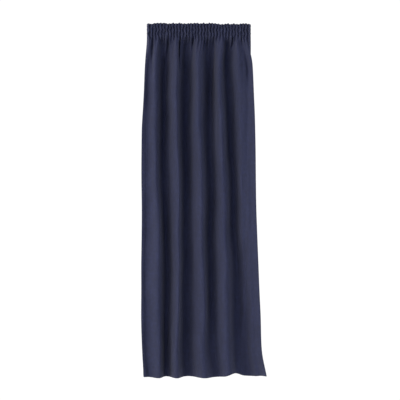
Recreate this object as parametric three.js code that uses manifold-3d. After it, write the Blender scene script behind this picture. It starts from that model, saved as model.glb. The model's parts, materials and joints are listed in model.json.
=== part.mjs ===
// A gathered curtain panel: one wide cloth with turned hems, drawn up on a corded heading tape and hung
// from a row of plastic hooks. Millimetres, +Z up, the room side facing -Y. The origin is on the hanging
// line, midway along the heading, where the hooks rest on their gliders.
import * as THREE from 'three';
import Module from 'manifold-3d';
import { mergeVertices } from 'three/addons/utils/BufferGeometryUtils.js';

const wasm = await Module();
wasm.setup();

// ---- Driving dimensions ----

const GAP = 0.35;            // clearance between layers that touch on the real curtain

const DROP = 2450;           // finished length, from the heading edge to the hem
const HEADING_WIDTH = 719;   // width of the gathered heading
const CLOTH_WIDTH = 1400;    // finished width of the cloth laid flat
const CLOTH = 1.2;           // thickness of one layer of cloth
const HEADING_RISE = 18;     // the heading edge stands this far above the hook seats

const PLEATS = 34;           // pencil pleats along the heading
const PLEAT_DEPTH = 17;      // front of a pleat to its back, at the middle of the cloth
const PLEAT_FLAT = 0.08;     // share of a pleat's cloth in its flat front, and in its flat back
const PLEAT_END = 240;       // distance down at which the pleats have opened out
const OPENED = 340;          // the cloth is drawn with a column at every pleat's corner down to here

const TAPE_INSET = 5;        // cloth that shows above the tape
const TAPE_HEIGHT = 80;
const TAPE = 0.8;            // thickness of the tape
const TAPE_MARGIN = 8;       // plain tape above the upper channel and below the lower one
const CHANNEL_HEIGHT = 12;   // of each of the tape's three corded channels
const CORD_RADIUS = 1;
const KNOT_RADIUS = 2.6;

const HOOK_WIDTH = 3.6;
const HOOK_STOCK = 2.4;      // thickness of the moulded strip
const HOOK_MOUTH = 5.6;      // clear width over the glider's ring
const HOOK_THROAT = 1.4;     // play between the tape's channel and the hook's spine
const HOOK_TIP = 7;          // depth of the mouth below the seat
const HOOK_LEG = 21;         // length of the leg inside the tape's pocket
const PLEATS_PER_HOOK = 3;

const SIDE_HEM = 38;
const HEM_DEPTH = 80;
const SEAM_INSET = 3;        // a seam's distance from the edge that it holds down
const THREAD_WIDTH = 1.2;
const THREAD = 0.6;

const LABEL_WIDTH = 20;
const LABEL_HEIGHT = 58;
const LABEL = 0.4;
const LABEL_INSET = 6;       // from the cloth's edge

// How far the cloth spreads beyond the heading's two ends, at each level of the folds
const FOLD_LEVELS = [0.12, 0.49, 0.78, 1];
const SPREAD_LEFT = [12, 36, 36, 22];
const SPREAD_RIGHT = [14, 37, 63, 105];
const FOLD_GROWTH = 300;     // distance down at which the folds reach their full depth
const FOLD_REACH = 0.82;     // how far a fold's rounded front and back reach towards each other

// The lines that the folds run down: each line's share of the flat cloth, then at each level its depth to
// the front (-) or back (+) and its place across the hanging width
const FOLDS = [
  { cloth: 0.000, depth: [-30, -32, -32, -34], across: [0.000, 0.000, 0.000, 0.000] },
  { cloth: 0.088, depth: [-55, -62, -60, -55], across: [0.094, 0.134, 0.130, 0.118] },
  { cloth: 0.185, depth: [+58, +60, +62, +55], across: [0.180, 0.200, 0.208, 0.174] },
  { cloth: 0.295, depth: [-65, -66, -64, -62], across: [0.292, 0.321, 0.306, 0.275] },
  { cloth: 0.400, depth: [+62, +64, +66, +60], across: [0.390, 0.390, 0.372, 0.365] },
  { cloth: 0.510, depth: [-65, -66, -65, -62], across: [0.492, 0.522, 0.520, 0.496] },
  { cloth: 0.622, depth: [+60, +62, +58, +16], across: [0.615, 0.605, 0.597, 0.610] },
  { cloth: 0.715, depth: [-58, -60, -58, -50], across: [0.693, 0.710, 0.705, 0.685] },
  { cloth: 0.800, depth: [+58, +62, +62, +52], across: [0.765, 0.808, 0.815, 0.778] },
  { cloth: 0.870, depth: [-40, -30, +15, +60], across: [0.866, 0.888, 0.880, 0.868] },
  { cloth: 1.000, depth: [-40, -50, -46, -40], across: [1.000, 1.000, 1.000, 1.000] },
];

// ---- Places that follow from the dimensions ----

const TOP = HEADING_RISE;
const TAPE_FOOT = TAPE_INSET + TAPE_HEIGHT;
const HEM_TOP = DROP - HEM_DEPTH;
const channelPitch = (TAPE_HEIGHT - CHANNEL_HEIGHT) / 2 - TAPE_MARGIN;
const CHANNEL_LEVELS = [-1, 0, 1].map((n) => TAPE_INSET + TAPE_HEIGHT / 2 + n * channelPitch);

// Depths behind the hanging line, from the hook's spine forward to the cloth
const spineFront = -HOOK_MOUTH / 2 - HOOK_STOCK;
const channelBack = spineFront - HOOK_THROAT;
const channelBore = CORD_RADIUS + GAP;
const channelAxis = channelBack - TAPE - channelBore;
const channelFront = channelAxis - channelBore - TAPE / 2;
const legBack = channelFront - 1.2 * GAP;
const ridgeBack = channelFront + TAPE / 4;
const clothRidge = ridgeBack - TAPE - GAP - CLOTH / 2;
const HEADING_Y = clothRidge - PLEAT_DEPTH / 2;

const hookCount = Math.floor((PLEATS - 1) / PLEATS_PER_HOOK) + 1;
const hookX = (n) => pleatCentre(n * PLEATS_PER_HOOK);

function pleatCentre(pleat) {
  return HEADING_WIDTH * ((pleat + 0.5) / PLEATS - 0.5);
}

// ---- The hanging shape of the cloth ----

const lerp = THREE.MathUtils.lerp;
const smoothstep = THREE.MathUtils.smoothstep;

// A value that leaves the tape's foot straight down and passes through one value at each fold level
function alongDrop(start, values, down) {
  const stops = [TAPE_FOOT, ...FOLD_LEVELS.map((level) => level * DROP)];
  const all = [start, ...values];
  const place = THREE.MathUtils.clamp(down, stops[0], stops.at(-1));
  const k = Math.max(1, stops.findIndex((stop) => place <= stop));
  const t = (place - stops[k - 1]) / (stops[k] - stops[k - 1]);
  const slope = (i) => {
    if (i === 0) return 0;
    const next = Math.min(i + 1, all.length - 1);
    return (all[next] - all[i - 1]) / (stops[next] - stops[i - 1]) * (stops[k] - stops[k - 1]);
  };
  const rise = all[k] - all[k - 1];
  const [entry, exit] = [slope(k - 1), slope(k)];
  return all[k - 1] + t * entry + t * t * (3 * rise - 2 * entry - exit) + t ** 3 * (entry + exit - 2 * rise);
}

// A pleat's cloth runs flat across its back, forward along a flank, flat across its front and back again
function pleatAt(share) {
  const phase = (share * PLEATS) % 1;
  const fromBack = Math.min(phase, 1 - phase);
  const flank = THREE.MathUtils.clamp((fromBack - PLEAT_FLAT / 2) / (0.5 - PLEAT_FLAT), 0, 1);
  const pitch = HEADING_WIDTH / PLEATS;
  const flatWidth = PLEAT_FLAT * CLOTH_WIDTH / PLEATS;
  const flat = Math.min(fromBack, PLEAT_FLAT / 2) + Math.max(fromBack - 0.5 + PLEAT_FLAT / 2, 0);
  const half = flat / PLEAT_FLAT * flatWidth + flank * (pitch / 2 - flatWidth);
  const along = phase < 0.5 ? half : pitch - half;
  return { shift: along - phase * pitch, depth: PLEAT_DEPTH * (0.5 - flank) };
}

// Where a share of the cloth's width hangs at a distance down from the heading edge
function clothPoint(share, down) {
  const upper = FOLDS.findIndex((fold, k) => k > 0 && share <= fold.cloth + 1e-9);
  const [a, b] = [FOLDS[upper - 1], FOLDS[upper]];
  const t = (share - a.cloth) / (b.cloth - a.cloth);
  const growth = 1 - (1 - smoothstep(down, TAPE_FOOT, FOLD_GROWTH)) ** 2;
  const left = -HEADING_WIDTH / 2 - alongDrop(0, SPREAD_LEFT, down);
  const right = HEADING_WIDTH / 2 + alongDrop(0, SPREAD_RIGHT, down);
  const xa = lerp(left, right, alongDrop(a.cloth, a.across, down));
  const xb = lerp(left, right, alongDrop(b.cloth, b.across, down));
  const reach = lerp(1 / 3, FOLD_REACH, growth) * (xb - xa);
  const x = (1 - t) ** 3 * xa + 3 * (1 - t) ** 2 * t * (xa + reach)
    + 3 * (1 - t) * t * t * (xb - reach) + t ** 3 * xb;
  const [ya, yb] = [a, b].map((line) => alongDrop(line.depth[0], line.depth, down));
  const y = growth * lerp(ya, yb, t * t * (3 - 2 * t));
  const pleat = pleatAt(share);
  const open = 1 - smoothstep(down, TAPE_FOOT, PLEAT_END);
  return new THREE.Vector3(x + open * pleat.shift, HEADING_Y + y + open * pleat.depth, TOP - down);
}

// A row of the cloth's points, moved towards the back by a distance that may differ along the row
function offsetRow(points, distance) {
  const normal = (a, b) => new THREE.Vector3(a.y - b.y, b.x - a.x, 0).normalize();
  return points.map((point, i) => {
    const before = normal(points[Math.max(i - 1, 0)], points[Math.max(i, 1)]);
    const after = normal(points[Math.min(i, points.length - 2)], points[Math.min(i + 1, points.length - 1)]);
    const mean = before.clone().add(after).normalize();
    const mitre = Math.min(1 / mean.dot(before), 2);
    return point.clone().addScaledVector(mean, distance(i) * mitre);
  });
}

// ---- Closed sheets between a near and a far offset from the cloth's middle ----

// Triangles between two rows of vertices, whose places along the rows may differ. Front and back split
// their quads the same way, so layers that lie on each other stay parallel where the cloth twists.
function bridge(faces, upper, lower, facesBack = false) {
  let [i, j] = [0, 0];
  while (i < upper.ids.length - 1 || j < lower.ids.length - 1) {
    const nextUpper = upper.shares[i + 1] ?? Infinity;
    const nextLower = lower.shares[j + 1] ?? Infinity;
    const alongLower = nextLower <= nextUpper;
    const next = alongLower ? lower.ids[j + 1] : upper.ids[i + 1];
    const triangle = [upper.ids[i], lower.ids[j], next];
    faces.push(...(facesBack ? triangle.reverse() : triangle));
    j += alongLower ? 1 : 0;
    i += alongLower ? 0 : 1;
  }
}

function sheet(rows, near, far) {
  const vertices = [];
  const faces = [];
  const addRow = (row, distance) => {
    const points = row.columns.map((share) => clothPoint(share, row.down));
    const moved = offsetRow(points, (i) => distance(row.columns[i], row.down));
    const ids = row.shares.map((share) => vertices.push(moved[row.columns.indexOf(share)]) - 1);
    return { shares: row.shares, ids };
  };
  const front = rows.map((row) => addRow(row, near));
  const back = rows.map((row) => addRow(row, far));
  for (let k = 0; k + 1 < rows.length; k += 1) {
    bridge(faces, front[k], front[k + 1]);
    bridge(faces, back[k], back[k + 1], true);
    const ends = (row, at) => row[k].ids.at(at);
    const endsBelow = (row, at) => row[k + 1].ids.at(at);
    faces.push(ends(back, 0), endsBelow(back, 0), endsBelow(front, 0));
    faces.push(ends(back, 0), endsBelow(front, 0), ends(front, 0));
    faces.push(ends(front, -1), endsBelow(front, -1), endsBelow(back, -1));
    faces.push(ends(front, -1), endsBelow(back, -1), ends(back, -1));
  }
  bridge(faces, back[0], front[0]);
  bridge(faces, front.at(-1), back.at(-1));
  const geometry = new THREE.BufferGeometry().setFromPoints(vertices);
  geometry.setIndex(faces);
  return geometry;
}

const evenly = (distance) => () => distance;
const sorted = (numbers) => [...new Set(numbers)].sort((a, b) => a - b);
const shareOf = (distance) => distance / CLOTH_WIDTH;

// Columns where a hem, its seam and the label begin and end
const seamEdges = [-1, 1].map((side) => shareOf(SIDE_HEM - SEAM_INSET + side * THREAD_WIDTH / 2));
const hemEdges = [shareOf(SIDE_HEM), shareOf(SIDE_HEM + CLOTH)];
const labelEdges = [shareOf(LABEL_INSET), shareOf(LABEL_INSET + LABEL_WIDTH)];
const edgeColumns = [...seamEdges, ...hemEdges].flatMap((share) => [share, 1 - share]);
const pleatCorners = Array.from({ length: PLEATS }, (_, n) => [
  (n + PLEAT_FLAT / 2) / PLEATS,
  (n + 0.5 - PLEAT_FLAT / 2) / PLEATS,
  (n + 0.5 + PLEAT_FLAT / 2) / PLEATS,
  (n + 1 - PLEAT_FLAT / 2) / PLEATS,
]).flat();
const pleatColumns = sorted([0, 1, ...pleatCorners]);
const fineColumns = sorted([...pleatColumns, ...edgeColumns, ...labelEdges]);
const halfPleats = Array.from({ length: 2 * PLEATS + 1 }, (_, n) => n / (2 * PLEATS));
const wideColumns = sorted([...halfPleats, ...edgeColumns, ...labelEdges]);

// Rows of a sheet that covers some of the cloth's columns
const rowsAt = (downs, shares) => downs.map((down) => {
  const columns = down <= OPENED ? fineColumns : wideColumns;
  return { down, columns, shares: shares ?? columns };
});

const tapeRows = [TAPE_INSET, CHANNEL_LEVELS[1], TAPE_FOOT];
const openingRows = [...[1 / 6, 1 / 2, 1].map((part) => lerp(TAPE_FOOT, PLEAT_END, part)), OPENED];
const fallingRows = [0.22, 0.34, 0.48, 0.64, 0.82].map((part) => part * DROP);
const labelFoot = HEM_TOP - 2 * CLOTH;
const labelTop = labelFoot - LABEL_HEIGHT;
const lowerRows = [...fallingRows, labelTop, HEM_TOP - CLOTH, HEM_TOP, DROP];
const hemBack = 1.5 * CLOTH;

function curtainCloth() {
  const turned = (share, down) => {
    const inSideHem = Math.min(share, 1 - share) <= hemEdges[0] + 1e-9 && down > TAPE_FOOT + 1;
    const inBottomHem = down > HEM_TOP - CLOTH / 2;
    return CLOTH / 2 + (inSideHem || inBottomHem ? CLOTH : 0);
  };
  return sheet(rowsAt([0, ...tapeRows, ...openingRows, ...lowerRows]), evenly(-CLOTH / 2), turned);
}

// ---- Joining solids ----

function solid(geometry) {
  const bare = geometry.clone();
  bare.deleteAttribute('normal');
  bare.deleteAttribute('uv');
  const merged = mergeVertices(bare, 1e-4);
  const vertProperties = Float32Array.from(merged.attributes.position.array);
  return new wasm.Manifold(new wasm.Mesh({
    numProp: 3, vertProperties, triVerts: Uint32Array.from(merged.index.array),
  }));
}

function joined(geometries) {
  const all = geometries.map(solid).reduce((a, b) => a.add(b));
  const mesh = all.getMesh();
  const geometry = new THREE.BufferGeometry();
  geometry.setAttribute('position', new THREE.BufferAttribute(Float32Array.from(mesh.vertProperties), 3));
  geometry.setIndex(new THREE.BufferAttribute(Uint32Array.from(mesh.triVerts), 1));
  return geometry;
}

// An outline in the Y-Z plane given a width along X, centred on X = 0
function crossPiece(outline, width, curveSegments) {
  const geometry = new THREE.ExtrudeGeometry(outline, { depth: width, bevelEnabled: false, curveSegments });
  geometry.translate(0, 0, -width / 2);
  const turn = new THREE.Matrix4().makeBasis(
    new THREE.Vector3(0, 1, 0), new THREE.Vector3(0, 0, 1), new THREE.Vector3(1, 0, 0),
  );
  return geometry.applyMatrix4(turn);
}

// ---- Heading tape and its cords ----

const channelZ = (n) => TOP - CHANNEL_LEVELS[n];
const tapeNear = CLOTH / 2 + GAP;

// A flat band across the backs of the pleats, raised along its middle to hold the cord. Between two
// pleats the band stands clear of the cloth, and that is the pocket for a hook's leg.
function channel(n) {
  const z = channelZ(n);
  const edge = CHANNEL_HEIGHT / 2;
  const foot = channelBore + 2 * TAPE;
  const crest = 0.6 * channelBore;
  const thin = channelFront + TAPE;
  const outline = new THREE.Shape([
    [channelFront, z + edge], [channelFront, z - edge], [thin, z - edge], [thin, z - foot],
    [channelBack, z - crest], [channelBack, z + crest], [thin, z + foot], [thin, z + edge],
  ].map(([y, up]) => new THREE.Vector2(y, up)));
  const bore = new THREE.Path();
  bore.absarc(channelAxis, z, channelBore, 0, 2 * Math.PI, true);
  outline.holes.push(bore);
  return crossPiece(outline, HEADING_WIDTH, 4);
}

function headingTape() {
  const ribbon = sheet(rowsAt(tapeRows, pleatColumns), evenly(tapeNear), evenly(tapeNear + TAPE));
  return joined([ribbon, ...CHANNEL_LEVELS.map((_, n) => channel(n))]);
}

function drawCord(n) {
  const round = new THREE.Shape();
  round.absarc(channelAxis, channelZ(n), CORD_RADIUS, 0, 2 * Math.PI);
  const knotX = HEADING_WIDTH / 2 + KNOT_RADIUS + GAP;
  const knots = [-knotX, knotX].map((x) => {
    const knot = new THREE.SphereGeometry(KNOT_RADIUS, 8, 5);
    return knot.translate(x, channelAxis, channelZ(n));
  });
  return joined([crossPiece(round, 2 * knotX, 4), ...knots]);
}

// ---- Threads, label and hooks ----

// A run of stitches held against the back of a layer, seen as one narrow ribbon of thread
function seam(downs, shares, behind) {
  return sheet(rowsAt(downs, shares), evenly(behind + GAP), evenly(behind + GAP + THREAD));
}

function crossSeam(down, shares, behind) {
  return seam([down - THREAD_WIDTH / 2, down + THREAD_WIDTH / 2], shares, behind);
}

function sideSeam(side) {
  const downs = [...openingRows, ...fallingRows, labelTop, HEM_TOP - CLOTH - GAP];
  const shares = side < 0 ? seamEdges : seamEdges.map((share) => 1 - share).reverse();
  return seam(downs, shares, hemBack);
}

function careLabel() {
  const near = hemBack + GAP;
  const shares = wideColumns.filter((share) => share >= labelEdges[0] && share <= labelEdges[1]);
  return sheet(rowsAt([labelTop, labelFoot], shares), evenly(near), evenly(near + LABEL));
}

// The hook's outline: a mouth over the glider's ring, a spine behind the tape, and a leg up the pocket
function hookOutline() {
  const pocketFoot = channelZ(1) - CHANNEL_HEIGHT / 2 - 2 * GAP;
  const foot = pocketFoot - HOOK_STOCK;
  const seatHalf = HOOK_MOUTH / 2;
  const outer = HOOK_STOCK + 0.4;
  const inner = 1;
  const end = HOOK_STOCK / 2;
  const legTop = pocketFoot + HOOK_LEG - end;
  const legFront = legBack - HOOK_STOCK;
  const shape = new THREE.Shape();
  const half = Math.PI / 2;
  shape.moveTo(seatHalf + HOOK_STOCK, end - HOOK_TIP);
  shape.absarc(seatHalf + HOOK_STOCK - outer, HOOK_STOCK - outer, outer, 0, half);
  shape.absarc(outer - seatHalf - HOOK_STOCK, HOOK_STOCK - outer, outer, half, 2 * half);
  shape.absarc(spineFront - inner, pocketFoot + inner, inner, 0, -half, true);
  shape.absarc(legBack + inner, pocketFoot + inner, inner, 3 * half, 2 * half, true);
  shape.absarc(legBack - end, legTop, end, 0, 2 * half);
  shape.absarc(legFront + outer, foot + outer, outer, 2 * half, 3 * half);
  shape.absarc(-seatHalf - outer, foot + outer, outer, 3 * half, 4 * half);
  shape.absarc(inner - seatHalf, -inner, inner, 2 * half, half, true);
  shape.absarc(seatHalf - inner, -inner, inner, half, 0, true);
  shape.absarc(seatHalf + end, end - HOOK_TIP, end, 2 * half, 4 * half);
  return shape;
}

// ---- The assembly ----

const CLOTH_FINISH = { color: 0x2e3142, roughness: 0.92, metalness: 0 };
const TAPE_FINISH = { color: 0xd9d6cc, roughness: 0.9, metalness: 0 };
const CORD_FINISH = { color: 0xe6e3da, roughness: 0.85, metalness: 0 };
const THREAD_FINISH = { color: 0x272a3c, roughness: 0.8, metalness: 0 };
const LABEL_FINISH = { color: 0xeeece6, roughness: 0.8, metalness: 0 };
const HOOK_FINISH = { color: 0xf0efea, roughness: 0.4, metalness: 0 };

const curtain = new THREE.Group();

function add(name, geometry, finish, x = 0) {
  geometry.computeVertexNormals();
  const mesh = new THREE.Mesh(geometry, new THREE.MeshStandardMaterial(finish));
  mesh.name = name;
  mesh.position.x = x;
  curtain.add(mesh);
}

add('curtain_cloth', curtainCloth(), CLOTH_FINISH);
add('heading_tape', headingTape(), TAPE_FINISH);
['upper', 'middle', 'lower'].forEach((row, n) => add(`draw_cord_${row}`, drawCord(n), CORD_FINISH));

const tapeBack = tapeNear + TAPE;
add('heading_seam_upper', crossSeam(TAPE_INSET + SEAM_INSET, pleatColumns, tapeBack), THREAD_FINISH);
add('heading_seam_lower', crossSeam(TAPE_FOOT - SEAM_INSET, pleatColumns, tapeBack), THREAD_FINISH);
add('side_seam_left', sideSeam(-1), THREAD_FINISH);
add('side_seam_right', sideSeam(1), THREAD_FINISH);
add('hem_seam', crossSeam(HEM_TOP + SEAM_INSET, undefined, hemBack), THREAD_FINISH);
add('care_label', careLabel(), LABEL_FINISH);

for (let n = 0; n < hookCount; n += 1) {
  const name = `hook_${String(n + 1).padStart(2, '0')}`;
  add(name, crossPiece(hookOutline(), HOOK_WIDTH, 2), HOOK_FINISH, hookX(n));
}

export default curtain;
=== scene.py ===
import json
import math

import bmesh
import bpy
import numpy as np
from bpy.props import (
    FloatProperty,
    FloatVectorProperty,
    IntProperty,
    PointerProperty,
)
from mathutils import Matrix, Vector

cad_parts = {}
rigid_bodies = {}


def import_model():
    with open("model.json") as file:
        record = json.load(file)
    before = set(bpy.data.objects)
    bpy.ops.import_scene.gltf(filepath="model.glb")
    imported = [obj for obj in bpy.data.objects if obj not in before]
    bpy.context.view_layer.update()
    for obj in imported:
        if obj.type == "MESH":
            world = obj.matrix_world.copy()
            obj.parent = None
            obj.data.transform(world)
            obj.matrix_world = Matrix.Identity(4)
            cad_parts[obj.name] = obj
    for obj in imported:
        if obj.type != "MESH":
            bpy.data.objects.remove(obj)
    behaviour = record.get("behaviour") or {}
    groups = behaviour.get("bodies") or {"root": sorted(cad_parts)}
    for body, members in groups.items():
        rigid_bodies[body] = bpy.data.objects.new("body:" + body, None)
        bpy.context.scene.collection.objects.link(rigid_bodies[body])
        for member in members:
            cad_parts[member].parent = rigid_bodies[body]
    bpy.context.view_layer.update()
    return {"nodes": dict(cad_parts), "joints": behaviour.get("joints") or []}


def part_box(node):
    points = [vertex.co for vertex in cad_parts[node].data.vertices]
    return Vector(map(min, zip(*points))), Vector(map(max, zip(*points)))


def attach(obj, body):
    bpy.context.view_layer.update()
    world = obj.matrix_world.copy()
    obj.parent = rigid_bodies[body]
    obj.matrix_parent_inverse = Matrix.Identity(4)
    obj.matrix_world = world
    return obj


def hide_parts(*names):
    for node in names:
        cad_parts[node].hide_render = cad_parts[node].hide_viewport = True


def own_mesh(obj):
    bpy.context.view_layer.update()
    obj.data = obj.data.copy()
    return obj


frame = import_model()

bl_info = {
    "name": "Gathered Curtain Panel",
    "version": (1, 0, 0),
    "blender": (4, 5, 0),
    "location": "3D View > Sidebar > Curtain",
    "description": "Hangs a pencil pleat curtain panel from a row of hooks",
    "category": "Object",
}

# ---- Where the frame puts things, in metres ----

CLOTH_LOW, CLOTH_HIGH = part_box("curtain_cloth")
TAPE_LOW, TAPE_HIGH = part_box("heading_tape")
HOOK_NAMES = sorted(name for name in frame["nodes"] if name.startswith("hook_"))
HOOK_X = {name: sum(corner.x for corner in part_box(name)) / 2 for name in HOOK_NAMES}
MM = 0.001


# ---- Sizes and colours ----

class CURTAIN_PG_cloth(bpy.types.PropertyGroup):
    """The main cloth"""
    drop: FloatProperty(
        name="Drop", description="Finished length from the heading edge to the hem",
        default=CLOTH_HIGH.z - CLOTH_LOW.z, min=0.5, unit="LENGTH")
    flat_width: FloatProperty(
        name="Flat Width", description="Finished width before the heading is drawn up",
        default=1.4, min=0.5, unit="LENGTH")
    thickness: FloatProperty(
        name="Thickness", description="Thickness of one layer of cloth",
        default=1.2 * MM, min=0.2 * MM, unit="LENGTH")
    side_hem: FloatProperty(
        name="Side Hem", description="Width of the turned cloth along each side",
        default=38 * MM, unit="LENGTH")
    bottom_hem: FloatProperty(
        name="Bottom Hem", description="Depth of the turned cloth along the bottom",
        default=80 * MM, unit="LENGTH")
    top_turn: FloatProperty(
        name="Top Turn", description="Cloth turned over behind the heading edge",
        default=11 * MM, unit="LENGTH")
    seam_inset: FloatProperty(
        name="Seam Inset", description="From a hem's inner edge to its seam",
        default=3 * MM, unit="LENGTH")
    colour: FloatVectorProperty(
        name="Colour", description="Colour of the cloth", subtype="COLOR",
        size=3, default=(0.0205, 0.0260, 0.0715), min=0, max=1)
    nap_colour: FloatVectorProperty(
        name="Nap Colour", description="Colour of the soft nap seen at a glancing angle",
        subtype="COLOR", size=3, default=(0.89, 0.88, 0.87), min=0, max=1)


class CURTAIN_PG_heading(bpy.types.PropertyGroup):
    """The pencil pleat heading"""
    width: FloatProperty(
        name="Heading Width", description="Width of the heading once it is drawn up",
        default=TAPE_HIGH.x - TAPE_LOW.x, min=0.2, unit="LENGTH")
    pleats: IntProperty(
        name="Pleats", description="Number of pencil pleats", default=34, min=4)
    pleat_depth: FloatProperty(
        name="Pleat Depth", description="From the front of a pleat to its back",
        default=17 * MM, unit="LENGTH")
    tape_inset: FloatProperty(
        name="Tape Inset", description="Cloth that shows above the tape",
        default=5 * MM, unit="LENGTH")
    tape_height: FloatProperty(
        name="Tape Height", description="Height of the heading tape",
        default=80 * MM, unit="LENGTH")
    channel_height: FloatProperty(
        name="Channel Height", description="Height of each corded channel",
        default=12 * MM, unit="LENGTH")
    cord_radius: FloatProperty(
        name="Cord Radius", description="Radius of a draw cord", default=1 * MM, unit="LENGTH")
    tape_colour: FloatVectorProperty(
        name="Tape Colour", description="Colour of the woven tape", subtype="COLOR",
        size=3, default=(0.68, 0.66, 0.60), min=0, max=1)
    cord_colour: FloatVectorProperty(
        name="Cord Colour", description="Colour of the draw cords", subtype="COLOR",
        size=3, default=(0.78, 0.76, 0.70), min=0, max=1)


class CURTAIN_PG_trim(bpy.types.PropertyGroup):
    """Stitches, care label and hooks"""
    stitch_pitch: FloatProperty(
        name="Stitch Pitch", description="From one stitch to the next",
        default=4 * MM, unit="LENGTH")
    thread_radius: FloatProperty(
        name="Thread Radius", description="Radius of the sewing thread",
        default=0.28 * MM, unit="LENGTH")
    thread_colour: FloatVectorProperty(
        name="Thread Colour", description="Colour of the sewing thread", subtype="COLOR",
        size=3, default=(0.022, 0.026, 0.050), min=0, max=1)
    label_width: FloatProperty(
        name="Label Width", description="Width of the blank care label",
        default=20 * MM, unit="LENGTH")
    label_height: FloatProperty(
        name="Label Height", description="Height of the blank care label",
        default=58 * MM, unit="LENGTH")
    label_inset: FloatProperty(
        name="Label Inset", description="From the cloth's edge to the label",
        default=6 * MM, unit="LENGTH")
    label_colour: FloatVectorProperty(
        name="Label Colour", description="Colour of the satin label", subtype="COLOR",
        size=3, default=(0.80, 0.79, 0.75), min=0, max=1)
    hook_width: FloatProperty(
        name="Hook Width", description="Width of a hook across the heading",
        default=3.6 * MM, unit="LENGTH")
    hook_stock: FloatProperty(
        name="Hook Stock", description="Thickness of a hook's moulded strip",
        default=2.4 * MM, unit="LENGTH")
    hook_colour: FloatVectorProperty(
        name="Hook Colour", description="Colour of the hooks' plastic", subtype="COLOR",
        size=3, default=(0.83, 0.82, 0.78), min=0, max=1)


class CURTAIN_PG_stage(bpy.types.PropertyGroup):
    """Floor, light and camera"""
    clearance: FloatProperty(
        name="Floor Clearance", description="From the hem down to the floor",
        default=0.36, unit="LENGTH")
    floor_radius: FloatProperty(
        name="Floor Radius", description="From the middle of the floor to its edge",
        default=2.2, unit="LENGTH")
    camera_distance: FloatProperty(
        name="Camera Distance", description="From the heading to the camera",
        default=9.5, unit="LENGTH")
    view_height: FloatProperty(
        name="View Height", description="Height that the camera takes in at the curtain",
        default=2.776, unit="LENGTH")
    dome: FloatProperty(
        name="Dome Light", description="Strength of the soft light from all around",
        default=3.42)
    side_power: FloatProperty(
        name="Side Light", description="Power of each soft light at the sides",
        default=40.0, unit="POWER")


# ---- Curves that several pieces follow ----

def smoothstep(value, low, high):
    """0 below low, 1 above high and a smooth rise between them"""
    t = np.clip((value - low) / (high - low), 0, 1)
    return t * t * (3 - 2 * t)


def along(stops, table, line, down):
    """Each point's value on its own line of the table, whose columns are the values at the stops.
    A line leaves the first stop straight down and passes smoothly through the others."""
    table = np.atleast_2d(np.asarray(table, float))
    slopes = np.zeros_like(table)
    slopes[:, 1:-1] = (table[:, 2:] - table[:, :-2]) / (stops[2:] - stops[:-2])
    slopes[:, -1] = (table[:, -1] - table[:, -2]) / (stops[-1] - stops[-2])
    k = np.clip(np.searchsorted(stops, down), 1, len(stops) - 1)
    span = stops[k] - stops[k - 1]
    t = np.clip((down - stops[k - 1]) / span, 0, 1)
    rest = 1 - t
    before, after = table[line, k - 1], table[line, k]
    leave, arrive = slopes[line, k - 1] * span, slopes[line, k] * span
    return (before * (1 + 2 * t) * rest ** 2 + after * (1 + 2 * rest) * t ** 2
            + leave * t * rest ** 2 - arrive * t ** 2 * rest)


def rounded(t, leave, arrive):
    """A way across from 0 to 1 that sets out and arrives level, by as much as the two reaches say"""
    rest = 1 - t
    return 3 * rest ** 2 * t * leave + 3 * rest * t ** 2 * (1 - arrive) + t ** 3


# Lines that the folds run down: share of the flat cloth; depth in millimetres, to the front (-) or the
# back (+), and place across the hanging width, each at the four fold levels; and the reach of the
# rounding towards the line on its left and on its right
FOLD_LEVELS = np.array([0.12, 0.49, 0.78, 1.0])
FOLDS = [
    (0.000, (-30, -32, -33, -36), (0.000, 0.000, 0.000, 0.000), 0.40, 0.40),
    (0.035, (-14, -16, -13, -9), (0.037, 0.050, 0.044, 0.042), 0.40, 0.40),
    (0.088, (-55, -62, -60, -55), (0.094, 0.134, 0.142, 0.130), 0.35, 0.50),
    (0.185, (+58, +60, +60, +44), (0.180, 0.200, 0.217, 0.180), 0.52, 0.38),
    (0.295, (-65, -66, -64, -62), (0.292, 0.321, 0.306, 0.275), 0.36, 0.28),
    (0.400, (+62, +64, +66, +60), (0.390, 0.390, 0.372, 0.365), 0.62, 0.40),
    (0.510, (-65, -66, -65, -62), (0.492, 0.522, 0.520, 0.496), 0.36, 0.38),
    (0.622, (+60, +62, +58, +16), (0.615, 0.605, 0.597, 0.610), 0.55, 0.36),
    (0.715, (-58, -60, -62, -58), (0.693, 0.710, 0.716, 0.697), 0.38, 0.46),
    (0.800, (+58, +62, +70, +60), (0.765, 0.808, 0.817, 0.784), 0.52, 0.40),
    (0.870, (-40, -30, +28, +70), (0.866, 0.888, 0.880, 0.868), 0.34, 0.34),
    (0.925, (-22, -42, -25, +14), (0.942, 0.942, 0.936, 0.935), 0.34, 0.34),
    (0.965, (-45, -62, -55, -48), (1.000, 1.000, 1.000, 1.000), 0.34, 0.30),
    (1.000, (-8, -18, -12, -10), (0.984, 0.980, 0.982, 0.978), 0.40, 0.40),
]
# Millimetres that the hanging cloth reaches beyond each end of its heading, at shares of its drop
SPREAD_LEVELS = (0.10, 0.24, 0.31, 0.58, 0.82, 0.93, 1.00)
SPREAD_LEFT = (9, 26, 34, 35, 37, 31, 21)
SPREAD_RIGHT = (9, 23, 27, 41, 65, 77, 108)
FRONT_GROWTH = 0.400                   # distance down at which the folds reach their full depth in front
BACK_GROWTH = 0.165                    # and behind

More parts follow.
